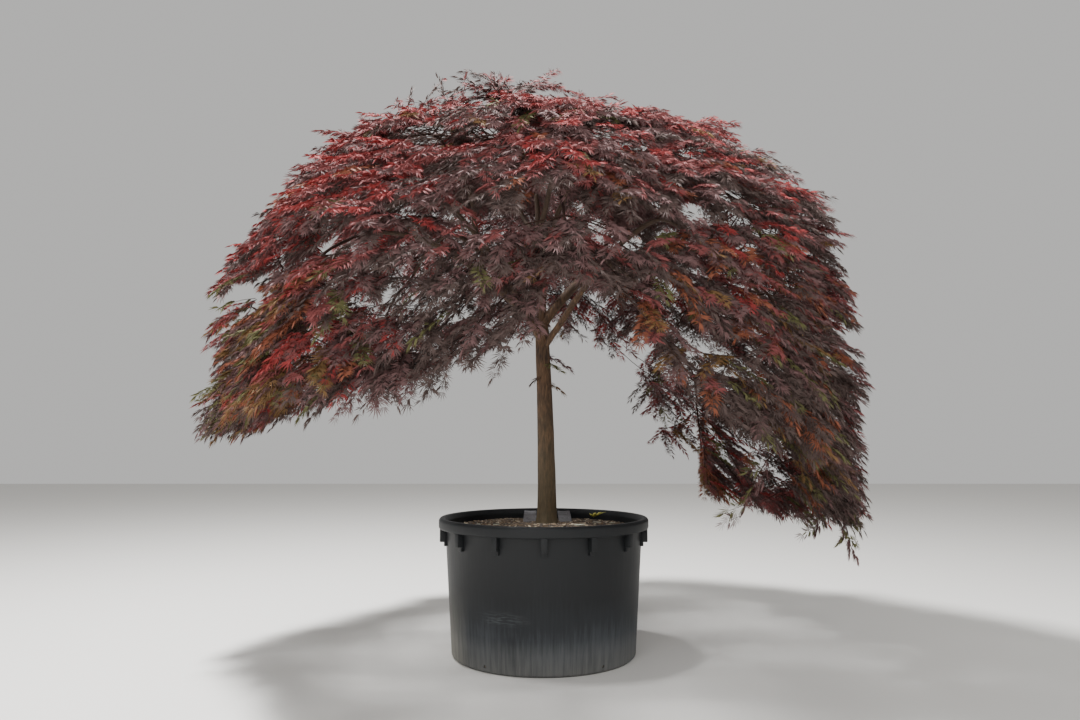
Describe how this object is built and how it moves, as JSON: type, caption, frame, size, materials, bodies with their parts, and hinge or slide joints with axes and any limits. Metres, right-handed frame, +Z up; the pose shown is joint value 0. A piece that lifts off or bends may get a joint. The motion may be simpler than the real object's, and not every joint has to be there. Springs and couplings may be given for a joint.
{
  "type": "potted japanese maple",
  "caption": "Weeping cutleaf Japanese maple: an umbrella crown of fine drooping red foliage on a short bare trunk, in a round black nursery container filled with soil",
  "frame": {"origin": "centre of the container's flat underside, on the ground", "axes": "+Z points up along the trunk, -Y points to the viewer of the picture, and +X to that viewer's right, where the longest curtain of foliage hangs"},
  "size_m": [4.0719, 3.6685, 3.476],
  "materials": {
    "pot": "weathered black",
    "soil": "damp bark mulch",
    "boards": "weathered grey",
    "bark": "fissured bark",
    "foliage": "matte leaves"
  },
  "bodies": {
    "root": {"pot": "pot", "soil": "soil", "board_left": "boards", "board_right": "boards", "trunk": "bark", "leader": "bark", "bough_right": "bark", "bough_left": "bark", "bough_back": "bark", "bough_front_left": "bark", "bough_front_right": "bark", "bough_back_right": "bark", "bough_back_left": "bark", "bough_front": "bark", "arch_right": "bark", "arch_back_right": "bark", "arch_back": "bark", "arch_back_left": "bark", "arch_left": "bark", "arch_front_left": "bark", "arch_front": "bark", "arch_front_right": "bark", "riser_top_right": "bark", "riser_top_back": "bark", "riser_top_left": "bark", "riser_top_front": "bark", "top_tuft": "foliage", "top_right": "foliage", "top_back": "foliage", "top_left": "foliage", "top_front": "foliage", "shoulder_right": "foliage", "curtain_right": "foliage", "shoulder_back_right": "foliage", "curtain_back_right": "foliage", "shoulder_back": "foliage", "curtain_back": "foliage", "shoulder_back_left": "foliage", "curtain_back_left": "foliage", "shoulder_left": "foliage", "curtain_left": "foliage", "shoulder_front_left": "foliage", "curtain_front_left": "foliage", "shoulder_front": "foliage", "curtain_front": "foliage", "shoulder_front_right": "foliage", "curtain_front_right": "foliage"}
  },
  "joints": []
}
